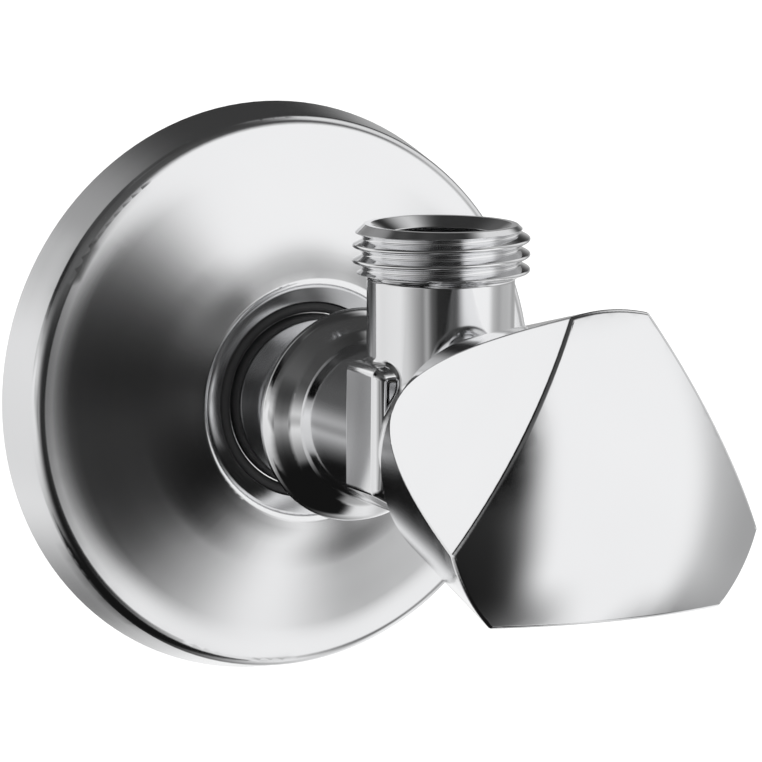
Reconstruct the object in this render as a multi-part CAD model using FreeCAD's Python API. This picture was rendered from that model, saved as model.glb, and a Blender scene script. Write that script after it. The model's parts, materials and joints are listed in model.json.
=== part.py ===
import FreeCAD, Part
import math
import os

from FreeCAD import Vector

# Angle stop valve with a wall plate and a three-sided knob. Millimetres.
# The inlet axis lies on Y, with the wall at y = 0 and the knob towards -Y.
# The outlet points up, along +Z.

# Threads: both are half-inch pipe threads, kept here as plain cylinders at the crest.
thread_radius = 10.4775
thread_root_radius = 9.3155
inlet_thread_chamfer = 1.25
outlet_chamfer_width = 1.42
outlet_chamfer_height = 1.3

# Gaps between fitted parts, and the edge roundings used most
press_gap = 0.02
running_play = 0.05
fine_edge = 0.3
soft_edge = 0.6

# Inlet side of the body
spigot_end = 13.0
thread_start = -3.0
collar_start = -4.6
collar_radius = 10.84
collar_end_blend = 0.8
flange_back = -24.6
flange_rise = 0.4
flange_front = -26.5
flange_radius = 13.14
flange_front_blend = 2.4
flange_waist_radius = 10.75
flange_waist = -28.3
flange_waist_blend = 2.2
barrel_start = -29.4
barrel_radius = 9.85
barrel_end = -56.6
inlet_bore_radius = 6.0
inlet_bore_chamfer = 1.2

# Outlet neck
outlet_along = -46.35
outlet_top = 25.7
neck_radius = 8.71
neck_top = 18.4
neck_top_blend = 0.8
neck_runout = 0.9
neck_blend = 2.2
outlet_bore_radius = 6.2
outlet_cone_radius = 8.3
outlet_cone_depth = 1.2
port_radius = 4.4
port_top = 13.2
port_taper = 1.8

# Wrench flats on both sides of the barrel
flats_half_width = 10.5
flats_back = -42.1
flats_front = -50.5
flats_top = 9.6
flats_bottom = -5.4
flats_keel_half_width = 5.1
flats_keel = -8.45
flats_top_blend = 1.2
flats_bottom_blend = 0.8
flats_back_blend = 0.8
flats_front_blend = 1.6
block_blend = 0.8
block_blend_start = 0.4

# Seat and chamber
seat_radius = 5.0
seat_face = -37.6
seat_ring_back = -33.4
seat_ring_wall = 1.4
seat_lip_wall = 0.7
seat_lip_step = 0.4
seat_lip_edge = 0.25
sealing_ring_inset = 0.2
sealing_ring_edge = 0.4
chamber_radius = 8.0
chamber_back = -35.6

# Wall plate
plate_thickness = 0.8
plate_radius = 36.1
plate_shoulder_radius = 34.6
plate_shoulder = -6.9
plate_shoulder_blend = 1.8
plate_brim_radius = 31.0
plate_brim = -7.6
plate_bell_radius = 19.5
plate_bell = -11.3
plate_bell_blend = 28.0
plate_lip_radius = 14.7
plate_lip = -13.9
plate_lip_blend = 1.3
plate_fold = 1.0
plate_fold_reach = 0.3
grip_ring_centre = 11.52
grip_ring_along = -12.0
grip_ring_cord = 0.62

# Headwork
bonnet_flange_back = -57.2
bonnet_flange_front = -61.2
bonnet_across_flats = 18.0
bonnet_end = -69.5
bonnet_neck_radius = 6.3
bonnet_thread_radius = 7.95
bonnet_thread_end = -50.2
bonnet_thread_chamfer = 0.6
bonnet_neck_edge = 0.5
bonnet_corner_reach = 1.4
bonnet_back_bevel = 1.0
bonnet_front_bevel = 0.9
skirt_radius = 7.2
skirt_end = -46.8
skirt_edge = 0.4
gasket_inset = 0.3
plug_across_flats = 11.0
guide_play = 0.05
guide_end = -57.6
spindle_radius = 4.0
spindle_thread_radius = 3.2
spindle_thread_end = -47.5
spindle_thread_chamfer = 0.5
spindle_flange_radius = 4.95
spindle_flange_room = 0.25
spindle_flange_back = -57.7
spindle_flange_front = -59.2
thrust_step = -60.0
ring_groove_radius = 2.9
ring_cord = 0.55
ring_groove_play = 0.3
rear_ring_along = -63.6
front_ring_along = -66.4
retaining_groove_inset = 0.1
retaining_groove_width = 0.8
retaining_ring_reach = 1.3
retaining_ring_thickness = 0.76
retaining_ring_gap = 2.2
spline_start = -70.6
spline_end = -79.0
spline_teeth = 20
spline_depth = 0.4

# Slider and washer
plug_thread_end = -53.4
plug_bore_end = -43.2
plug_disc_front = -41.6
washer_seat = -40.1
washer_radius = 5.9
washer_thickness = 2.5
cup_radius = 6.6
cup_depth = 1.6
cup_outer_edge = 0.4
cup_lip_edge = 0.2
screw_radius = 2.0
screw_length = 2.7
screw_hole_length = 2.9
screw_tip_edge = 0.4
screw_head_radius = 3.4
screw_head_height = 1.6
screw_head_edge = 0.7
screw_slot_width = 0.8
screw_slot_floor = 0.75

# Knob
knob_back = -57.3
knob_opening_radius = 11.0
knob_back_radius = 13.95
knob_rim = -86.0
knob_rim_radius = 20.6
knob_front = -90.3
knob_dome_radius = 49.0
facet_distance = 14.25
facet_angles = (30, 150, 270)
knob_wall = 2.0
knob_edge_radius = 0.6
knob_rear_radius = 2.0
insert_radius = 7.0
insert_back = -70.7
insert_end = -84.0
insert_edge = 0.4
insert_socket_end = -84.3
insert_bore_end = -79.3
boss_radius = 8.8
boss_back = -72.5
boss_front_inset = 1.2
web_thickness = 1.6
web_root = 0.5
clip_inner_radius = 5.9
clip_outer_radius = 7.5
clip_back = -81.0
clip_front = -82.0
clip_groove_play = 0.1
clip_gap = 3.0

parts_folder = "parts"
tolerance = 0.01
same_point = 1e-6

x_axis = Vector(1, 0, 0)
y_axis = Vector(0, 1, 0)
z_axis = Vector(0, 0, 1)


def rounded_wire(corners, closed=True):
    """A wire in the XY plane through corners of (x, y, corner radius), with tangent arcs."""
    count = len(corners)
    edges = []
    previous_end = None
    first_start = None
    for index, (x, y, radius) in enumerate(corners):
        here = Vector(x, y, 0)
        is_end = not closed and index in (0, count - 1)
        if radius == 0 or is_end:
            start, end, arc = here, here, None
        else:
            before = Vector(*corners[index - 1][:2], 0) - here
            after = Vector(*corners[(index + 1) % count][:2], 0) - here
            half_turn = before.getAngle(after) / 2
            reach = radius / math.tan(half_turn)
            before.normalize()
            after.normalize()
            start = here + before * reach
            end = here + after * reach
            bisector = before + after
            bisector.normalize()
            middle = here + bisector * (radius / math.sin(half_turn) - radius)
            arc = Part.Arc(start, middle, end).toShape()
        if previous_end is None:
            first_start = start
        elif previous_end.distanceToPoint(start) > same_point:
            edges.append(Part.LineSegment(previous_end, start).toShape())
        if arc:
            edges.append(arc)
        previous_end = end
    if closed and previous_end.distanceToPoint(first_start) > same_point:
        edges.append(Part.LineSegment(previous_end, first_start).toShape())
    return Part.Wire(edges)


def turned(corners):
    """Solid turned about the Y axis from corners of (radius, along Y, corner radius)."""
    return Part.Face(rounded_wire(corners)).revolve(Vector(), y_axis, 360)


def tube(outer, inner, back, front):
    """Plain ring or tube about the Y axis."""
    return turned([(inner, back, 0), (outer, back, 0), (outer, front, 0), (inner, front, 0)])


def rod(radius, back, front):
    """Cylinder about the Y axis from back to front, where front is the lower Y."""
    return Part.makeCylinder(radius, back - front, Vector(0, front, 0), y_axis)


def torus(ring_radius, cord_radius, along):
    """O-ring about the Y axis."""
    return Part.makeTorus(ring_radius, cord_radius, Vector(0, along, 0), y_axis)


def prism(corner_radius, sides, back, front, turn=0):
    """Regular prism about the Y axis, its corners on corner_radius."""
    points = []
    for index in range(sides + 1):
        angle = math.radians(turn + 360 * (index % sides) / sides)
        points.append(Vector(corner_radius * math.cos(angle), back, corner_radius * math.sin(angle)))
    return Part.Face(Part.makePolygon(points)).extrude(Vector(0, front - back, 0))


def ring_opening(width, outer_radius, back, front):
    """Block that opens a spring ring at the top."""
    return Part.makeBox(width, back - front, outer_radius + 1, Vector(-width / 2, front, 0))


def hexagon(across_flats, back, front):
    """Hexagonal prism about the Y axis with flats on top and bottom."""
    return prism(across_flats / math.sqrt(3), 6, back, front)


def splines(crest_radius, back, front):
    """Serrated rod: teeth and roots alternate round the Y axis."""
    points = []
    for index in range(2 * spline_teeth + 1):
        angle = math.pi * (index % (2 * spline_teeth)) / spline_teeth
        radius = crest_radius - spline_depth * (index % 2)
        points.append(Vector(radius * math.cos(angle), back, radius * math.sin(angle)))
    return Part.Face(Part.makePolygon(points)).extrude(Vector(0, front - back, 0))


def outlet_turned(corners):
    """Solid turned about the outlet axis from corners of (radius, height, corner radius)."""
    face = Part.Face(rounded_wire(corners))
    face.rotate(Vector(), Vector(1, 0, 0), 90)
    face.translate(Vector(0, outlet_along, 0))
    return face.revolve(Vector(0, outlet_along, 0), z_axis, 360)


def body_turning():
    """Inlet thread, collar, bead flange and barrel as one turned blank."""
    return turned([
        (0, spigot_end, 0),
        (thread_radius - inlet_thread_chamfer, spigot_end, 0),
        (thread_radius, spigot_end - inlet_thread_chamfer, 0),
        (thread_radius, thread_start, 0),
        (thread_root_radius, thread_start, 0),
        (thread_root_radius, collar_start, 0),
        (collar_radius, collar_start, fine_edge),
        (collar_radius, flange_back, collar_end_blend),
        (flange_radius, flange_back - flange_rise, soft_edge),
        (flange_radius, flange_front, flange_front_blend),
        (flange_waist_radius, flange_waist, flange_waist_blend),
        (barrel_radius, barrel_start, 0),
        (barrel_radius, barrel_end, soft_edge),
        (0, barrel_end, 0),
    ])


def flats_block():
    """Block across the barrel: two wrench flats, with a keel that runs into the barrel."""
    corners = [
        (-flats_half_width, flats_top, flats_top_blend),
        (-flats_half_width, flats_bottom, flats_bottom_blend),
        (-flats_keel_half_width, flats_keel, 0),
        (flats_keel_half_width, flats_keel, 0),
        (flats_half_width, flats_bottom, flats_bottom_blend),
        (flats_half_width, flats_top, flats_top_blend),
    ]
    face = Part.Face(rounded_wire(corners))
    face.rotate(Vector(), Vector(1, 0, 0), 90)
    face.translate(Vector(0, flats_back, 0))
    block = face.extrude(Vector(0, flats_front - flats_back, 0))
    upright = [
        edge for edge in block.Edges
        if abs(edge.BoundBox.XMin) > flats_half_width - tolerance
        and edge.BoundBox.XLength < tolerance
        and edge.BoundBox.YLength < tolerance
    ]
    front = [edge for edge in upright if edge.BoundBox.YMin < flats_front + tolerance]
    back = [edge for edge in upright if edge.BoundBox.YMax > flats_back - tolerance]
    return block.makeFillet(flats_back_blend, back).makeFillet(flats_front_blend, front)


def outlet_neck():
    """Straight neck with a run-out below the outlet thread."""
    return outlet_turned([
        (0, 0, 0),
        (neck_radius, 0, 0),
        (neck_radius, neck_top, neck_top_blend),
        (thread_radius, neck_top + neck_runout, 0),
        (thread_radius, outlet_top - outlet_chamfer_height, 0),
        (thread_radius - outlet_chamfer_width, outlet_top, 0),
        (0, outlet_top, 0),
    ])


def is_cylinder(face, radius, axis):
    surface = face.Surface
    if surface.TypeId != "Part::GeomCylinder":
        return False
    return abs(surface.Radius - radius) < tolerance and abs(surface.Axis.dot(axis)) > 0.999


def edges_between(shape, first_face, second_face):
    """Edges whose two faces answer one test each."""
    found = []
    for edge in shape.Edges:
        faces = shape.ancestorsOfType(edge, Part.Face)
        if len(faces) != 2:
            continue
        one, other = faces
        if first_face(one) and second_face(other) or first_face(other) and second_face(one):
            found.append(edge)
    return found


def is_neck(face):
    return is_cylinder(face, neck_radius, z_axis)


def is_barrel(face):
    return is_cylinder(face, barrel_radius, y_axis)


def edges_on(shape, seam, lowest):
    """Edges of shape whose middle lies on the seam, above a lowest height."""
    found = []
    for edge in shape.Edges:
        middle = edge.valueAt((edge.FirstParameter + edge.LastParameter) / 2)
        if edge.BoundBox.ZMin > lowest and seam.distToShape(Part.Vertex(middle))[0] < tolerance:
            found.append(edge)
    return found


def body_blank():
    """Outside of the body: turning, neck and flats block, blended where they meet."""
    tee = body_turning().fuse(outlet_neck()).removeSplitter()
    tee = tee.makeFillet(neck_blend, edges_between(tee, is_neck, is_barrel))
    block = flats_block()
    blank = tee.fuse(block).removeSplitter()
    seam = edges_on(blank, tee.section(block), flats_bottom + block_blend_start)
    return blank.makeFillet(block_blend, seam)


def valve_body():
    outlet_way = outlet_turned([
        (0, 0, 0),
        (port_radius, 0, 0),
        (port_radius, port_top, 0),
        (outlet_bore_radius, port_top + port_taper, 0),
        (outlet_bore_radius, outlet_top - outlet_cone_depth, 0),
        (outlet_cone_radius, outlet_top, 0),
        (0, outlet_top, 0),
    ])
    seat_pocket = rod(seat_radius + seat_ring_wall, seat_ring_back, chamber_back)
    chamber = rod(chamber_radius, chamber_back, barrel_end)
    inlet_way = rod(inlet_bore_radius, spigot_end, seat_ring_back)
    inlet_cone = Part.makeCone(
        inlet_bore_radius, inlet_bore_radius + inlet_bore_chamfer, inlet_bore_chamfer,
        Vector(0, spigot_end - inlet_bore_chamfer, 0), y_axis)
    return body_blank().cut([outlet_way, seat_pocket, chamber, inlet_way, inlet_cone])


def seat_ring():
    """Metal seat pressed into the body, with a raised lip that faces the washer."""
    return turned([
        (seat_radius, seat_ring_back, fine_edge),
        (seat_radius + seat_ring_wall, seat_ring_back, 0),
        (seat_radius + seat_ring_wall, chamber_back, 0),
        (seat_radius + seat_lip_wall, chamber_back - seat_lip_step, 0),
        (seat_radius + seat_lip_wall, seat_face, seat_lip_edge),
        (seat_radius, seat_face, seat_lip_edge),
    ])


def inlet_sealing_ring():
    """Ring in the undercut behind the inlet thread."""
    return turned([
        (thread_root_radius, thread_start, 0),
        (collar_radius - sealing_ring_inset, thread_start, sealing_ring_edge),
        (collar_radius - sealing_ring_inset, collar_start, 0),
        (thread_root_radius, collar_start, 0),
    ])


def escutcheon():
    """Spun plate: conical rim, bell-shaped face, and a lip that turns in to its grip ring."""
    ring_wall = grip_ring_centre + grip_ring_cord + press_gap
    lip_foot = grip_ring_along + grip_ring_cord + press_gap
    line = rounded_wire([
        (plate_radius, 0, 0),
        (plate_shoulder_radius, plate_shoulder, plate_shoulder_blend),
        (plate_brim_radius, plate_brim, plate_bell_blend),
        (plate_bell_radius, plate_bell, plate_bell_blend),
        (plate_lip_radius, plate_lip, plate_lip_blend),
        (ring_wall, lip_foot - plate_fold, fine_edge),
        (ring_wall, lip_foot, fine_edge),
        (grip_ring_centre - plate_fold_reach, lip_foot, 0),
    ], closed=False)
    sheet = line.makeOffset2D(plate_thickness, 0, True, True)
    plate = sheet.revolve(Vector(), y_axis, 360)
    return plate.common(rod(plate_radius + 1, 0, plate_lip - 1))


def bonnet_housing():
    """Screwed-in headwork: guide skirt, thread, hexagon flange and spindle neck."""
    outside = turned([
        (0, skirt_end, 0),
        (skirt_radius, skirt_end, skirt_edge),
        (skirt_radius, bonnet_thread_end, 0),
        (bonnet_thread_radius, bonnet_thread_end - bonnet_thread_chamfer, 0),
        (bonnet_thread_radius, bonnet_flange_back, 0),
        (bonnet_neck_radius, bonnet_flange_back, 0),
        (bonnet_neck_radius, bonnet_end, bonnet_neck_edge),
        (0, bonnet_end, 0),
    ])
    flat_distance = bonnet_across_flats / 2
    corner_limit = flat_distance + bonnet_corner_reach
    flange_bevel = turned([
        (0, bonnet_flange_back, 0),
        (flat_distance + soft_edge, bonnet_flange_back, soft_edge),
        (corner_limit, bonnet_flange_back - bonnet_back_bevel, 0),
        (corner_limit, bonnet_flange_front + bonnet_front_bevel, 0),
        (flat_distance, bonnet_flange_front, 0),
        (0, bonnet_flange_front, 0),
    ])
    flange = hexagon(bonnet_across_flats, bonnet_flange_back, bonnet_flange_front).common(flange_bevel)
    guide = hexagon(plug_across_flats + 2 * guide_play, skirt_end, guide_end)
    flange_room = rod(spindle_flange_radius + spindle_flange_room, guide_end, thrust_step)
    bearing = rod(spindle_radius + running_play, thrust_step, bonnet_end)
    return outside.fuse(flange).removeSplitter().cut([guide, flange_room, bearing])


def bonnet_gasket():
    return tube(
        barrel_radius - gasket_inset, bonnet_thread_radius + running_play, barrel_end, bonnet_flange_back)


def spindle():
    """Turns without rising: thread, thrust flange, two O-ring grooves, clip groove, serrations."""
    groove_half = ring_cord + ring_groove_play
    retaining_back = bonnet_end - retaining_groove_inset
    retaining_front = retaining_back - retaining_groove_width
    shaft = turned([
        (0, spindle_thread_end, 0),
        (spindle_thread_radius - spindle_thread_chamfer, spindle_thread_end, 0),
        (spindle_thread_radius, spindle_thread_end - spindle_thread_chamfer, 0),
        (spindle_thread_radius, spindle_flange_back, 0),
        (spindle_flange_radius, spindle_flange_back, fine_edge),
        (spindle_flange_radius, spindle_flange_front, fine_edge),
        (spindle_radius, spindle_flange_front, 0),
        (spindle_radius, rear_ring_along + groove_half, 0),
        (ring_groove_radius, rear_ring_along + groove_half, 0),
        (ring_groove_radius, rear_ring_along - groove_half, 0),
        (spindle_radius, rear_ring_along - groove_half, 0),
        (spindle_radius, front_ring_along + groove_half, 0),
        (ring_groove_radius, front_ring_along + groove_half, 0),
        (ring_groove_radius, front_ring_along - groove_half, 0),
        (spindle_radius, front_ring_along - groove_half, 0),
        (spindle_radius, retaining_back, 0),
        (ring_groove_radius, retaining_back, 0),
        (ring_groove_radius, retaining_front, 0),
        (spindle_radius, retaining_front, 0),
        (spindle_radius, spline_start, 0),
        (0, spline_start, 0),
    ])
    return shaft.fuse(splines(spindle_radius, spline_start, spline_end))


def spindle_o_ring(along):
    return torus(ring_groove_radius + ring_cord + press_gap, ring_cord, along)


def thrust_washer():
    return tube(
        spindle_flange_radius, spindle_radius + press_gap,
        spindle_flange_front, thrust_step + running_play)


def spindle_retaining_ring():
    """Open clip in the spindle's groove, in front of the bonnet."""
    back = bonnet_end - retaining_groove_inset - press_gap
    front = back - retaining_ring_thickness
    outer_radius = spindle_radius + retaining_ring_reach
    ring = tube(outer_radius, ring_groove_radius + press_gap, back, front)
    return ring.cut(ring_opening(retaining_ring_gap, outer_radius, back, front))


def valve_plug():
    """Hexagonal slider with a threaded bore in front and the washer cup at the back."""
    hexagonal = hexagon(plug_across_flats, plug_disc_front, plug_thread_end)
    cup_back = washer_seat + cup_depth
    cup = turned([
        (0, plug_disc_front, 0),
        (cup_radius, plug_disc_front, cup_outer_edge),
        (cup_radius, cup_back, cup_lip_edge),
        (washer_radius + press_gap, cup_back, 0),
        (washer_radius + press_gap, washer_seat, 0),
        (0, washer_seat, 0),
    ])
    threaded_bore = rod(spindle_thread_radius + running_play, plug_bore_end, plug_thread_end)
    screw_hole = rod(screw_radius + press_gap, washer_seat, washer_seat - screw_hole_length)
    return hexagonal.fuse(cup).removeSplitter().cut([threaded_bore, screw_hole])


def seat_washer():
    washer_back = washer_seat + washer_thickness
    return turned([
        (screw_radius + press_gap, washer_seat, 0),
        (washer_radius, washer_seat, 0),
        (washer_radius, washer_back, fine_edge),
        (screw_radius + press_gap, washer_back, 0),
    ])


def washer_screw():
    """Pan-head screw with a plain slot, through the washer into the slider."""
    head_front = washer_seat + washer_thickness
    head_back = head_front + screw_head_height
    tip = washer_seat - screw_length
    screw = turned([
        (0, head_back, 0),
        (screw_head_radius, head_back, screw_head_edge),
        (screw_head_radius, head_front, 0),
        (screw_radius, head_front, 0),
        (screw_radius, tip, screw_tip_edge),
        (0, tip, 0),
    ])
    slot = Part.makeBox(
        2 * screw_head_radius, screw_head_height, screw_slot_width,
        Vector(-screw_head_radius, head_front + screw_slot_floor, -screw_slot_width / 2))
    return screw.cut(slot)


def knob_blank(inset, back, rear_radius=0):
    """Bell with a domed front, cut by three facets, all drawn in by inset."""
    slope = (knob_rim_radius - knob_back_radius) / (knob_back - knob_rim)
    back_radius = knob_back_radius - inset - slope * (back - knob_back)
    front_radius = knob_back_radius - inset + slope * (knob_back - knob_front)
    bell = turned([
        (0, back, 0),
        (back_radius, back, rear_radius),
        (front_radius, knob_front, 0),
        (0, knob_front, 0),
    ])
    centre = Vector(0, knob_front + knob_dome_radius, 0)
    dome = Part.makeSphere(knob_dome_radius - inset, centre, x_axis)
    corner_radius = 2 * (facet_distance - inset)
    triangle = prism(corner_radius, 3, back + 1, knob_front - 1, facet_angles[0] + 60)
    return bell.common(dome).common(triangle)


def knob_webs():
    """Three webs that run from the boss into the knob's corners."""
    webs = []
    for angle in facet_angles:
        web = Part.makeBox(
            knob_rim_radius, boss_back - knob_front, web_thickness,
            Vector(boss_radius - web_root, knob_front, -web_thickness / 2))
        web.rotate(Vector(), y_axis, -(angle + 60))
        webs.append(web)
    return webs[0].fuse(webs[1:]).common(knob_blank(knob_wall / 2, knob_back - knob_wall))


def handle_shell():
    """Hollow knob with a boss for the insert and webs inside."""
    outside = knob_blank(0, knob_back, knob_rear_radius)
    sharp = [edge for edge in outside.Edges if edge.BoundBox.YMin < knob_back - 3 * knob_rear_radius]
    outside = outside.makeFillet(knob_edge_radius, sharp)
    inside = knob_blank(knob_wall, knob_back - knob_wall)
    opening = rod(knob_opening_radius, knob_back + 1, knob_back - knob_wall - 1)
    boss = rod(boss_radius, boss_back, knob_front + boss_front_inset)
    socket = rod(insert_radius + press_gap, boss_back, insert_socket_end)
    clip_groove = tube(
        clip_outer_radius + clip_groove_play, insert_radius,
        clip_back + clip_groove_play, clip_front - clip_groove_play)
    return outside.cut([inside, opening]).fuse([boss, knob_webs()]).cut([socket, clip_groove])


def handle_insert():
    """Plastic insert between the spindle's serrations and the knob's boss."""
    sleeve = turned([
        (0, insert_back, 0),
        (boss_radius, insert_back, insert_edge),
        (boss_radius, boss_back, 0),
        (insert_radius, boss_back, 0),
        (insert_radius, clip_back + running_play, 0),
        (clip_inner_radius - press_gap, clip_back + running_play, 0),
        (clip_inner_radius - press_gap, clip_front - running_play, 0),
        (insert_radius, clip_front - running_play, 0),
        (insert_radius, insert_end, soft_edge),
        (0, insert_end, 0),
    ])
    return sleeve.cut(splines(spindle_radius + running_play, insert_back, insert_bore_end))


def handle_clip():
    """Open spring ring that locks the insert in the boss."""
    ring = tube(clip_outer_radius, clip_inner_radius, clip_back, clip_front)
    return ring.cut(ring_opening(clip_gap, clip_outer_radius, clip_back, clip_front))


def save(name, shape):
    shape.exportStep(os.path.join(parts_folder, name + ".step"))
    print(name, shape.isValid(), len(shape.Solids), round(shape.Volume, 1))


def build():
    os.makedirs(parts_folder, exist_ok=True)
    pieces = {
        "valve_body": valve_body(),
        "seat_ring": seat_ring(),
        "inlet_sealing_ring": inlet_sealing_ring(),
        "escutcheon": escutcheon(),
        "escutcheon_grip_ring": torus(grip_ring_centre, grip_ring_cord, grip_ring_along),
        "bonnet_housing": bonnet_housing(),
        "bonnet_gasket": bonnet_gasket(),
        "spindle": spindle(),
        "spindle_o_ring_rear": spindle_o_ring(rear_ring_along),
        "spindle_o_ring_front": spindle_o_ring(front_ring_along),
        "thrust_washer": thrust_washer(),
        "spindle_retaining_ring": spindle_retaining_ring(),
        "valve_plug": valve_plug(),
        "seat_washer": seat_washer(),
        "washer_screw": washer_screw(),
        "handle_shell": handle_shell(),
        "handle_insert": handle_insert(),
        "handle_clip": handle_clip(),
    }
    for name, shape in pieces.items():
        save(name, shape)


build()
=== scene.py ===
import json
import math
import bpy
import numpy as np
from mathutils import Matrix, Vector


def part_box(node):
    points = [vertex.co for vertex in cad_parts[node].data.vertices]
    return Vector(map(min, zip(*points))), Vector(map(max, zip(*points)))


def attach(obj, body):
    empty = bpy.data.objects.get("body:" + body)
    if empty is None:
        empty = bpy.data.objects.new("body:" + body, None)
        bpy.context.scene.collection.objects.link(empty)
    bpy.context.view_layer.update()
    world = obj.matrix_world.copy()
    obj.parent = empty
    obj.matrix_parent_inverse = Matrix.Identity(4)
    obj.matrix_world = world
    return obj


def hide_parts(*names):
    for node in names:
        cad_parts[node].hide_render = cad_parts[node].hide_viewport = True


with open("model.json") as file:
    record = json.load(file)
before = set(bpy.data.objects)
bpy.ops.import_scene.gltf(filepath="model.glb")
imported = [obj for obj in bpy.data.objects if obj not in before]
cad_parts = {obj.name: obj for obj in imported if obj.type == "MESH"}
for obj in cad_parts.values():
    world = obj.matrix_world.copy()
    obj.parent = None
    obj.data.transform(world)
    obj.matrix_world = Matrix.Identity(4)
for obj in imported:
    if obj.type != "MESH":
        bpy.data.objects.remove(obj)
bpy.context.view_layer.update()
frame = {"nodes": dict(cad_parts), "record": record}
scene = bpy.context.scene
mounts = {mount["name"]: mount for mount in frame["record"]["mounts"]}

viewSet = {
    "azimuth": -27.76,      # degrees round the valve, from the knob's axis
    "elevation": 8.70,
    "roll": 0.41,
    "distance": 0.5967,
    "lens": 233.0,
    "aim": (0.0, -0.030, 0.0),
    "right": 0.00067,       # how far the aim is moved to the right and up in the picture
    "up": 0.00471,
}


def makeCamera():
    turn, lift, roll = (math.radians(viewSet[name]) for name in ("azimuth", "elevation", "roll"))
    back = Vector((math.sin(turn) * math.cos(lift), -math.cos(turn) * math.cos(lift), math.sin(lift)))
    right = Vector((0, 0, 1)).cross(back).normalized()
    up = back.cross(right)
    place = Vector(viewSet["aim"]) + right * viewSet["right"] + up * viewSet["up"]
    place += back * viewSet["distance"]
    rolledRight = right * math.cos(roll) + up * math.sin(roll)
    rolledUp = up * math.cos(roll) - right * math.sin(roll)
    data = bpy.data.cameras.new("studioCamera")
    data.lens = viewSet["lens"]
    data.sensor_width = 36
    data.clip_start = 0.01
    camera = bpy.data.objects.new("studioCamera", data)
    scene.collection.objects.link(camera)
    axes = Matrix((rolledRight, rolledUp, back)).transposed().to_4x4()
    camera.matrix_world = Matrix.Translation(place) @ axes
    scene.camera = camera
    print("camera placed")


makeCamera()


# shader maths: a socket that takes + - * / and a few named operations

class Sock:
    def __init__(self, tree, socket):
        self.tree = tree
        self.socket = socket

    def math(self, operation, *others, clamp=False):
        settings = {"operation": operation, "use_clamp": clamp}
        return self.tree.node("Math", settings, dict(enumerate([self, *others])))

    def __add__(self, other):
        return self.math("ADD", other)

    def __sub__(self, other):
        return self.math("SUBTRACT", other)

    def __rsub__(self, other):
        return (self * -1) + other

    def __mul__(self, other):
        return self.math("MULTIPLY", other)

    def __truediv__(self, other):
        return self.math("DIVIDE", other)

    def __abs__(self):
        return self.math("ABSOLUTE")

    __radd__ = __add__
    __rmul__ = __mul__

    def clamped(self):
        return self.math("ADD", 0.0, clamp=True)

    def eased(self):
        return self * self * (3 - 2 * self)

    def dot(self, direction):
        return self.tree.node("VectorMath", {"operation": "DOT_PRODUCT"}, {0: self, 1: direction}, "Value")


class Tree:
    def __init__(self, owner):
        owner.use_nodes = True
        self.nodes = owner.node_tree.nodes
        self.links = owner.node_tree.links

    def feed(self, socket, value):
        if isinstance(value, Sock):
            self.links.new(value.socket, socket)
        else:
            socket.default_value = value

    def node(self, kind, settings=None, values=None, output=0):
        made = self.nodes.new("ShaderNode" + kind)
        for name, value in (settings or {}).items():
            setattr(made, name, value)
        for name, value in (values or {}).items():
            self.feed(made.inputs[name], value)
        return Sock(self, made.outputs[output])

    def place(self):
        return self.node("TexCoord", output="Object")

    def noise(self, scale, detail=2.0, at=None, rough=0.5):
        values = {"Scale": scale, "Detail": detail, "Roughness": rough, "Vector": at or self.place()}
        return self.node("TexNoise", None, values, "Fac")

    def split(self, vector):
        parts = self.node("SeparateXYZ", None, {0: vector})
        outputs = parts.socket.node.outputs
        return [Sock(self, outputs[axis]) for axis in "XYZ"]

    def join(self, *parts):
        return self.node("CombineXYZ", None, dict(enumerate(parts)))

    def bump(self, height, strength):
        # a height of 1 stands 0.1 mm above the surface
        values = {"Strength": strength, "Distance": 0.0001, "Height": height}
        return self.node("Bump", None, values, "Normal")

    def blend(self, mask, one, other):
        values = {"Factor": mask, 6: one, 7: other}
        return self.node("Mix", {"data_type": "RGBA"}, values, 2)


def grey(level):
    return (level, level, level, 1.0)


def newMaterial(name):
    material = bpy.data.materials.new(name)
    tree = Tree(material)
    return material, tree, tree.nodes["Principled BSDF"]


chromeSet = {
    "tone": (0.87, 0.872, 0.88, 1.0),
    "shadeTone": (0.83, 0.834, 0.845, 1.0),
    "waves": 55.0,          # slow unevenness of the polish, per metre
    "rings": 2600.0,        # fine turning marks round the valve's axis, per metre
    "ringSpread": 0.03,     # how much the marks change the roughness
    "ringRelief": 0.002,    # and their height, in tenths of a millimetre
}


def makeChrome(name, roughness, spread, waveRelief, ringed):
    # polished chrome: slow waves, and on a ringed part fine rings that follow the distance from
    # the valve's axis
    material, tree, shader = newMaterial(name)
    place = tree.place()
    waves = tree.noise(chromeSet["waves"], 2.0, place)
    shader.inputs["Metallic"].default_value = 1.0
    tree.feed(shader.inputs["Base Color"], tree.blend(waves, chromeSet["tone"], chromeSet["shadeTone"]))
    level = waves * spread + roughness
    height = waves * waveRelief
    if ringed:
        side, along, above = tree.split(place)
        away = (side * side + above * above).math("SQRT")
        rings = tree.noise(chromeSet["rings"], 1.0, tree.join(away, along, 0.0))
        level = level + rings * chromeSet["ringSpread"]
        height = height + rings * chromeSet["ringRelief"]
    tree.feed(shader.inputs["Roughness"], level)
    tree.feed(shader.inputs["Normal"], tree.bump(height, 1.0))
    return material


bodyChrome = makeChrome("bodyChrome", 0.06, 0.04, 0.06, False)
plateChrome = makeChrome("plateChrome", 0.12, 0.05, 0.06, True)
knobChrome = makeChrome("knobChrome", 0.07, 0.03, 0.04, False)


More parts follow.
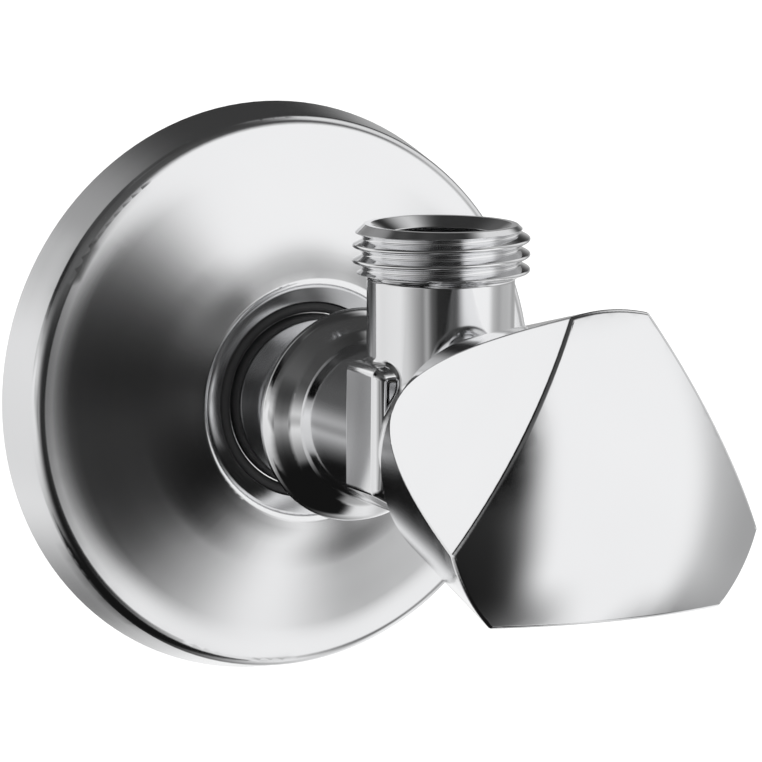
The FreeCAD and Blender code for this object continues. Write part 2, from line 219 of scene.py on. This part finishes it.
def makePlain(name, tone, shadeTone, metal, roughness, scale, relief):
    material, tree, shader = newMaterial(name)
    broad = tree.noise(scale, 4.0)
    fine = tree.noise(scale * 9, 2.0)
    shader.inputs["Metallic"].default_value = metal
    tree.feed(shader.inputs["Base Color"], tree.blend(broad, tone + (1.0,), shadeTone + (1.0,)))
    tree.feed(shader.inputs["Roughness"], fine * 0.15 + roughness)
    tree.feed(shader.inputs["Normal"], tree.bump(broad * 0.5 + fine, relief))
    return material


blackRubber = makePlain("blackRubber", (0.018, 0.018, 0.019), (0.03, 0.03, 0.031), 0.0, 0.45, 400.0, 0.08)
plainSteel = makePlain("plainSteel", (0.56, 0.57, 0.58), (0.46, 0.47, 0.48), 1.0, 0.22, 500.0, 0.06)
whitePlastic = makePlain("whitePlastic", (0.84, 0.84, 0.81), (0.78, 0.78, 0.75), 0.0, 0.35, 300.0, 0.06)
nickelBrass = makePlain("nickelBrass", (0.60, 0.58, 0.54), (0.52, 0.50, 0.46), 1.0, 0.18, 420.0, 0.04)
turnedBrass = makePlain("turnedBrass", (0.76, 0.58, 0.28), (0.68, 0.50, 0.22), 1.0, 0.18, 600.0, 0.05)
greyFibre = makePlain("greyFibre", (0.16, 0.15, 0.14), (0.11, 0.105, 0.10), 0.0, 0.6, 700.0, 0.2)

nodeFinish = {
    "seat_ring": turnedBrass,
    "inlet_sealing_ring": blackRubber,
    "escutcheon_grip_ring": blackRubber,
    "bonnet_housing": nickelBrass,
    "bonnet_gasket": greyFibre,
    "spindle": turnedBrass,
    "spindle_o_ring_rear": blackRubber,
    "spindle_o_ring_front": blackRubber,
    "thrust_washer": whitePlastic,
    "spindle_retaining_ring": plainSteel,
    "valve_plug": turnedBrass,
    "seat_washer": blackRubber,
    "washer_screw": plainSteel,
    "handle_insert": whitePlastic,
    "handle_clip": plainSteel,
}


def finishNodes():
    for name, material in nodeFinish.items():
        mesh = frame["nodes"][name].data
        mesh.materials.clear()
        mesh.materials.append(material)
    print("small nodes finished:", len(nodeFinish))


finishNodes()


def turnedOut(points, faces, normals):
    # every triangle runs round so that it faces the way its normals point
    first, second, third = (points[faces[:, corner]] for corner in range(3))
    facing = np.cross(second - first, third - first)
    inward = (facing * normals.sum(axis=1)).sum(axis=1) < 0
    faces[inward] = faces[inward][:, ::-1]
    normals[inward] = normals[inward][:, ::-1]
    return points, faces, normals


def welded(points, faces, normals):
    # points closer than a micrometre become one, and triangles that lose a side go
    keys = np.round(points * 1e6).astype(np.int64)
    first, back = np.unique(keys, axis=0, return_index=True, return_inverse=True)[1:]
    faces = back.ravel()[faces]
    whole = (faces != np.roll(faces, -1, axis=1)).all(axis=1)
    return points[first], faces[whole], normals[whole]


def readSurface(name, bend=12.0):
    # a CAD node as points, triangles and corner normals; at a point, normals that differ by less
    # than bend degrees become their mean, weighted by area, so that faces which run into each
    # other shade as one
    mesh = frame["nodes"][name].data
    points = np.empty(len(mesh.vertices) * 3)
    mesh.vertices.foreach_get("co", points)
    corners = np.empty(len(mesh.loops), dtype=np.int32)
    mesh.loops.foreach_get("vertex_index", corners)
    normals = np.empty(len(mesh.loops) * 3)
    mesh.corner_normals.foreach_get("vector", normals)
    points, faces, normals = welded(points.reshape(-1, 3), corners.reshape(-1, 3), normals.reshape(-1, 3, 3))
    sides = np.diff(points[faces], axis=1)
    area = np.linalg.norm(np.cross(sides[:, 0], sides[:, 1]), axis=1)
    given = normals.reshape(-1, 3)
    # normals at one point that are equal to about 0.1 degree are one kind
    keys = np.column_stack([faces.ravel(), np.round(given * 400).astype(np.int64)])
    first, back = np.unique(keys, axis=0, return_index=True, return_inverse=True)[1:]
    owner, given, back = faces.ravel()[first], given[first], back.ravel()
    weighted = given * np.bincount(back, weights=np.repeat(area, 3))[:, None]
    joined = weighted.copy()
    for step in range(1, np.bincount(owner).max()):
        near = owner[step:] == owner[:-step]
        near &= (given[step:] * given[:-step]).sum(axis=1) > math.cos(math.radians(bend))
        joined[step:][near] += weighted[:-step][near]
        joined[:-step][near] += weighted[step:][near]
    joined /= np.linalg.norm(joined, axis=1)[:, None]
    return points, faces, joined[back].reshape(-1, 3, 3)


def makePiece(name, parts, material):
    # parts: (points, triangles, corner normals) that go into one mesh
    starts = np.cumsum([0] + [len(part[0]) for part in parts])
    points = np.concatenate([part[0] for part in parts])
    faces = np.concatenate([part[1] + start for part, start in zip(parts, starts)])
    normals = np.concatenate([part[2].reshape(-1, 3) for part in parts])
    mesh = bpy.data.meshes.new(name)
    mesh.from_pydata(points.tolist(), [], faces.tolist())
    mesh.polygons.foreach_set("use_smooth", np.ones(len(faces), dtype=bool))
    mesh.normals_split_custom_set(normals.tolist())
    mesh.materials.append(material)
    piece = bpy.data.objects.new(name, mesh)
    scene.collection.objects.link(piece)
    return piece


def gridSurface(points, normals):
    # two triangles for each cell of a grid of points
    rows, columns = points.shape[:2]
    number = np.arange(rows * columns).reshape(rows, columns)
    low, beside = number[:-1, :-1].ravel(), number[:-1, 1:].ravel()
    over, across = number[1:, :-1].ravel(), number[1:, 1:].ravel()
    faces = np.concatenate([np.column_stack([low, beside, across]), np.column_stack([low, across, over])])
    return turnedOut(*welded(points.reshape(-1, 3), faces, normals.reshape(-1, 3)[faces]))


threadSet = {
    "pitch": 0.001814,
    "round": 0.1373,        # radius of the crests and roots, in pitches
    "flank": 27.5,          # degrees between a flank and a plane across the axis
    "edge": 0.00005,        # how much the chamfer's meeting with the thread is rounded
    "crestTurn": -27.76,    # degrees round the outlet at which a crest is crestHeight high
    "crestHeight": 0.02223,
}
pitch = threadSet["pitch"]


def threadDrop(offset):
    # depth under the crest at an offset along the axis: an arc, a straight flank and an arc
    bend, slope = threadSet["round"] * pitch, math.radians(threadSet["flank"])
    reach, arcDepth = bend * math.cos(slope), bend * (1 - math.sin(slope))
    away = np.abs(offset)
    crestArc = bend - np.sqrt(bend ** 2 - np.minimum(away, reach) ** 2)
    rootArc = bend - np.sqrt(bend ** 2 - np.minimum(pitch / 2 - away, reach) ** 2)
    flank = (np.clip(away, reach, pitch / 2 - reach) - reach) / math.tan(slope)
    return crestArc + flank + arcDepth - rootArc


def lesser(one, other):
    # the smaller of two radii, rounded where they are equal
    return (one + other - np.sqrt((one - other) ** 2 + threadSet["edge"] ** 2)) / 2


def threadSurface(crest, start, end, limit, zero, around, perPitch):
    # a strip one pitch wide wound round Z: height = zero + pitch * turns + offset, radius = the
    # lesser of crest - drop(offset) and limit(height); its edges meet those of the next turn
    first = math.floor((start - zero) / pitch) - 0.5
    turns = math.ceil((end - start) / pitch) + 2
    turn, offset = np.meshgrid(np.linspace(first, first + turns, turns * around + 1),
                               np.linspace(-pitch / 2, pitch / 2, perPitch + 1), indexing="ij")
    height = np.clip(zero + pitch * turn + offset, start, end)

    def radiusAt(offsetShift, heightShift):
        return lesser(crest - threadDrop(offset + offsetShift), limit(height + heightShift))

    # the normal is outwards - lean round the axis - slope along the axis
    radius, step = radiusAt(0, 0), 1e-7
    slope = (radiusAt(step, step) - radiusAt(-step, -step)) / (2 * step)
    lean = (radiusAt(-step, 0) - radiusAt(step, 0)) / (2 * step) * pitch / (2 * np.pi * radius)
    cosine, sine = np.cos(2 * np.pi * turn), np.sin(2 * np.pi * turn)
    points = np.stack([radius * cosine, radius * sine, height], axis=-1)
    normals = np.stack([cosine + lean * sine, sine - lean * cosine, -slope], axis=-1)
    normals /= np.linalg.norm(normals, axis=-1)[..., None]
    return gridSurface(points, normals)


def roundedLine(corners, arcPoints=7):
    # points and normals of a line through corners of (radius, height, rounding): each corner
    # becomes an arc that touches both of its runs, and normals point to the left of the line
    places, normals = [], []
    spots = np.array([corner[:2] for corner in corners])
    runs = np.diff(spots, axis=0)
    runs /= np.linalg.norm(runs, axis=1)[:, None]
    lefts = np.column_stack([-runs[:, 1], runs[:, 0]])
    places.append(spots[0])
    normals.append(lefts[0])
    for index in range(1, len(corners) - 1):
        before, after, bend = runs[index - 1], runs[index], corners[index][2]
        turning = math.atan2(before[0] * after[1] - before[1] * after[0], before @ after)
        reach = bend * math.tan(abs(turning) / 2)
        side = math.copysign(1, turning)
        centre = spots[index] - before * reach + lefts[index - 1] * bend * side
        share = np.linspace(0, 1, arcPoints)[:, None] * turning
        left = lefts[index - 1] * np.cos(share) - before * np.sin(share)
        places.extend(centre - left * bend * side)
        normals.extend(left)
    places.append(spots[-1])
    normals.append(lefts[-1])
    return np.array(places), np.array(normals)


def latheSurface(corners, around=240):
    # a rounded line turned round Z: (radius cos angle, radius sin angle, height)
    places, lefts = roundedLine(corners)
    angle = np.linspace(0, 2 * np.pi, around + 1)
    cosine, sine = np.cos(angle), np.sin(angle)

    def turned(values):
        return np.stack([np.outer(values[:, 0], cosine), np.outer(values[:, 0], sine),
                         np.outer(values[:, 1], np.ones_like(angle))], axis=-1)

    return gridSurface(turned(places), turned(lefts))


bodySet = {
    "outletSteps": (200, 24),   # steps round a turn of the thread, and across its pitch
    "inletSteps": (110, 12),
    "inletStart": -0.003,   # where the inlet's thread starts, along Y
    "inletSlope": 1.5,      # how steeply it rises from the root there
    "neck": 0.00871,        # radius of the outlet's neck
    "neckFrom": 0.016,      # height above which the neck stands clear of the barrel
    "root": 0.0093155,      # radius of the threads' roots
    "runout": 0.0191,       # height at which the neck starts to swell into the thread
    "swell": 0.0007,        # height of the swelling, which ends at runoutSlope
    "runoutSlope": 2.6,
    "rimEdge": 0.00014,     # rounding of the mouth's edges
    "boreEdge": 0.0003,
    "sleeve": 5e-6,         # how far the mouth's foot stands inside the bore's wall
    "sleeveDepth": 0.0006,  # and how far it reaches down it
}


def lowHigh(values):
    return values.min(), values.max()


def makeBody():
    look = bodySet
    points, faces, normals = readSurface("valve_body")
    outlet, waterway = mounts["outlet_thread"], mounts["outlet_waterway"]
    crest, bore = outlet["dims"]["r_mm"] / 1000, waterway["dims"]["r_mm"] / 1000
    outletY = outlet["pos_m"][1]
    inletEnd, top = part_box("valve_body")[1][1:]
    inletStart = look["inletStart"]
    middle = points[faces].mean(axis=1)
    fromOutlet = np.hypot(middle[:, 0], middle[:, 1] - outletY)
    fromInlet = np.hypot(middle[:, 0], middle[:, 2])
    aboveNeck = (fromOutlet > look["neck"] + 2e-5) & (middle[:, 2] > look["neckFrom"])
    neckEnd = points[faces[aboveNeck]][..., 2].min()
    onOutlet = (fromOutlet > bore + 5e-5) & (middle[:, 2] > neckEnd)
    onInlet = (fromInlet > look["root"] + 5e-6) & (middle[:, 1] < inletEnd - 1e-5)
    onInlet &= middle[:, 1] > inletStart - 1e-5
    kept = ~(onOutlet | onInlet)

    # the mouth's flat, chamfer and cone are read from the dropped faces, so they follow the CAD
    dropped = points[faces[onOutlet]].reshape(-1, 3)
    reach = np.hypot(dropped[:, 0], dropped[:, 1] - outletY)
    onTop = dropped[:, 2] > top - 1e-6
    coneRim, topRim = lowHigh(reach[onTop])
    chamferFoot = dropped[reach > crest - 1e-6][:, 2].max()
    coneFoot = dropped[reach < bore + 1e-5][:, 2].min()
    chamferSlope = (crest - topRim) / (top - chamferFoot)
    flat = points[points[:, 1] > inletEnd - 1e-6]
    inletRim = np.hypot(flat[:, 0], flat[:, 2]).max()

    def outletLimit(height):
        # the neck, a parabola of height swell, a straight run-out; above, the chamfer's cone
        rise = np.clip((height - look["runout"]) / look["swell"], 0, None)
        swelling = np.where(rise < 1, rise ** 2 / 2, rise - 0.5) * look["swell"] * look["runoutSlope"]
        return np.minimum(look["neck"] + swelling, topRim + (top - height) * chamferSlope)

    def inletLimit(height):
        # a straight run-out, and a 45 degree chamfer at the end
        runout = look["root"] + look["inletSlope"] * (height - inletStart)
        return np.minimum(runout, inletRim + inletEnd - height)

    threadEnd = top - 1.2 * look["rimEdge"]
    startRadius = topRim + (top - threadEnd) * chamferSlope
    zero = threadSet["crestHeight"] - pitch * threadSet["crestTurn"] / 360
    thread = threadSurface(crest, neckEnd, threadEnd, outletLimit, zero, *look["outletSteps"])
    mouth = latheSurface([
        (startRadius, threadEnd, 0),
        (topRim, top, look["rimEdge"]),
        (coneRim, top, look["rimEdge"]),
        (bore - look["sleeve"], coneFoot, look["boreEdge"]),
        (bore - look["sleeve"], coneFoot - look["sleeveDepth"], 0),
    ])
    inlet = threadSurface(crest, inletStart, inletEnd, inletLimit, 0.0, *look["inletSteps"])
    shift = np.array([0, outletY, 0])

    def tilted(values):
        # turns the Z axis onto Y
        return np.stack([values[..., 0], values[..., 2], -values[..., 1]], axis=-1)

    parts = [
        (points, faces[kept], normals[kept]),
        (thread[0] + shift, *thread[1:]),
        (mouth[0] + shift, *mouth[1:]),
        (tilted(inlet[0]), inlet[1], tilted(inlet[2])),
    ]
    piece = makePiece("threadedBody", parts, bodyChrome)
    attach(piece, "valve")
    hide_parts("valve_body")
    print("body with cut threads:", len(piece.data.polygons))


def makePolished(name, node, body, material):
    piece = makePiece(name, [readSurface(node)], material)
    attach(piece, body)
    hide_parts(node)
    print(name, len(piece.data.polygons))


makeBody()
makePolished("polishedPlate", "escutcheon", "wall_plate", plateChrome)
makePolished("polishedKnob", "handle_shell", "handle", knobChrome)


studioSet = {
    "strength": 1.0,
    "base": 0.85,
    "depth": 1.5,           # power that deepens the darks and leaves white as it is
}
# each panel: the azimuth and elevation of its middle, half its width and height, the width of its
# soft edge and its turn, all in degrees, and its tone; a later panel lies over the earlier ones
panels = [
    {"azimuth": 5, "elevation": -30, "width": 50, "height": 55, "soft": 30, "turn": -10, "tone": 1.00},
    {"azimuth": -70, "elevation": -75, "width": 30, "height": 25, "soft": 10, "turn": 5, "tone": 0.04},
    {"azimuth": -20, "elevation": -15, "width": 25, "height": 35, "soft": 30, "turn": 0, "tone": 0.10},
    {"azimuth": -95, "elevation": 90, "width": 60, "height": 45, "soft": 30, "turn": 65, "tone": 0.35},
    {"azimuth": -75, "elevation": 35, "width": 50, "height": 30, "soft": 10, "turn": 10, "tone": 0.12},
    {"azimuth": 100, "elevation": -5, "width": 40, "height": 30, "soft": 35, "turn": -5, "tone": 0.55},
    {"azimuth": 145, "elevation": -20, "width": 85, "height": 10, "soft": 20, "turn": -40, "tone": 0.30},
    {"azimuth": -40, "elevation": 60, "width": 75, "height": 20, "soft": 10, "turn": -55, "tone": 0.15},
    {"azimuth": -125, "elevation": -70, "width": 75, "height": 25, "soft": 50, "turn": 15, "tone": 0.04},
    {"azimuth": 160, "elevation": -20, "width": 15, "height": 70, "soft": 25, "turn": -130, "tone": 1.00},
    {"azimuth": -45, "elevation": 15, "width": 50, "height": 10, "soft": 15, "turn": 15, "tone": 0.01},
    {"azimuth": 140, "elevation": 55, "width": 35, "height": 45, "soft": 30, "turn": -180, "tone": 0.10},
    {"azimuth": 100, "elevation": 30, "width": 20, "height": 35, "soft": 20, "turn": 5, "tone": 0.85},
    {"azimuth": -35, "elevation": 25, "width": 35, "height": 10, "soft": 40, "turn": 10, "tone": 0.25},
    {"azimuth": -95, "elevation": 5, "width": 10, "height": 40, "soft": 50, "turn": -80, "tone": 1.00},
    {"azimuth": -110, "elevation": 30, "width": 15, "height": 10, "soft": 10, "turn": 0, "tone": 0.01},
    {"azimuth": -165, "elevation": -15, "width": 30, "height": 25, "soft": 20, "turn": 0, "tone": 0.90},
    {"azimuth": 30, "elevation": 0, "width": 25, "height": 35, "soft": 15, "turn": 0, "tone": 1.00},
]


def makeStudio():
    world = bpy.data.worlds.new("studio")
    scene.world = world
    tree = Tree(world)
    direction = tree.node("TexCoord", output="Generated")
    tone = studioSet["base"]
    for panel in panels:
        # tone goes to the panel's tone inside its edges, which are angles across and along it
        turn, lift, roll = (math.radians(panel[name]) for name in ("azimuth", "elevation", "turn"))
        middle = Vector((math.sin(turn) * math.cos(lift), -math.cos(turn) * math.cos(lift), math.sin(lift)))
        side = Vector((math.cos(turn), math.sin(turn), 0))
        over = side.cross(middle)
        right = side * math.cos(roll) + over * math.sin(roll)
        up = over * math.cos(roll) - side * math.sin(roll)
        across = direction.dot(right).math("ARCTAN2", direction.dot(middle)) * (180 / math.pi)
        along = direction.dot(up).math("ARCSINE") * (180 / math.pi)
        inside = [((panel[half] - abs(offset)) / panel["soft"] + 0.5).clamped().eased()
                  for offset, half in ((across, "width"), (along, "height"))]
        mask = inside[0] * inside[1]
        tone = tone + mask * (panel["tone"] - tone)
    glossy = tree.node("LightPath", output="Is Glossy Ray")
    level = glossy * (tone.math("POWER", studioSet["depth"]) - 1) + 1
    background = tree.nodes["Background"]
    tree.feed(background.inputs["Color"], level)
    background.inputs["Strength"].default_value = studioSet["strength"]
    print("studio panels:", len(panels))


makeStudio()


floorSet = {
    "half": 3.0,            # half the floor's side
    "drop": 0.060,          # how far it lies under the inlet's axis
}


def makeFloor():
    half, drop = floorSet["half"], floorSet["drop"]
    corners = [(-half, -half, -drop), (half, -half, -drop), (half, half, -drop), (-half, half, -drop)]
    mesh = bpy.data.meshes.new("paleFloor")
    mesh.from_pydata(corners, [], [(0, 1, 2, 3)])
    material, tree, shader = newMaterial("paleFloor")
    shader.inputs["Base Color"].default_value = grey(0.9)
    shader.inputs["Roughness"].default_value = 0.9
    shader.inputs["Specular IOR Level"].default_value = 0.0
    shader.inputs["Emission Color"].default_value = grey(1.0)
    shader.inputs["Emission Strength"].default_value = 0.25
    mesh.materials.append(material)
    floor = bpy.data.objects.new("paleFloor", mesh)
    scene.collection.objects.link(floor)
    floor.visible_glossy = False


makeFloor()

scene.view_settings.view_transform = "Standard"
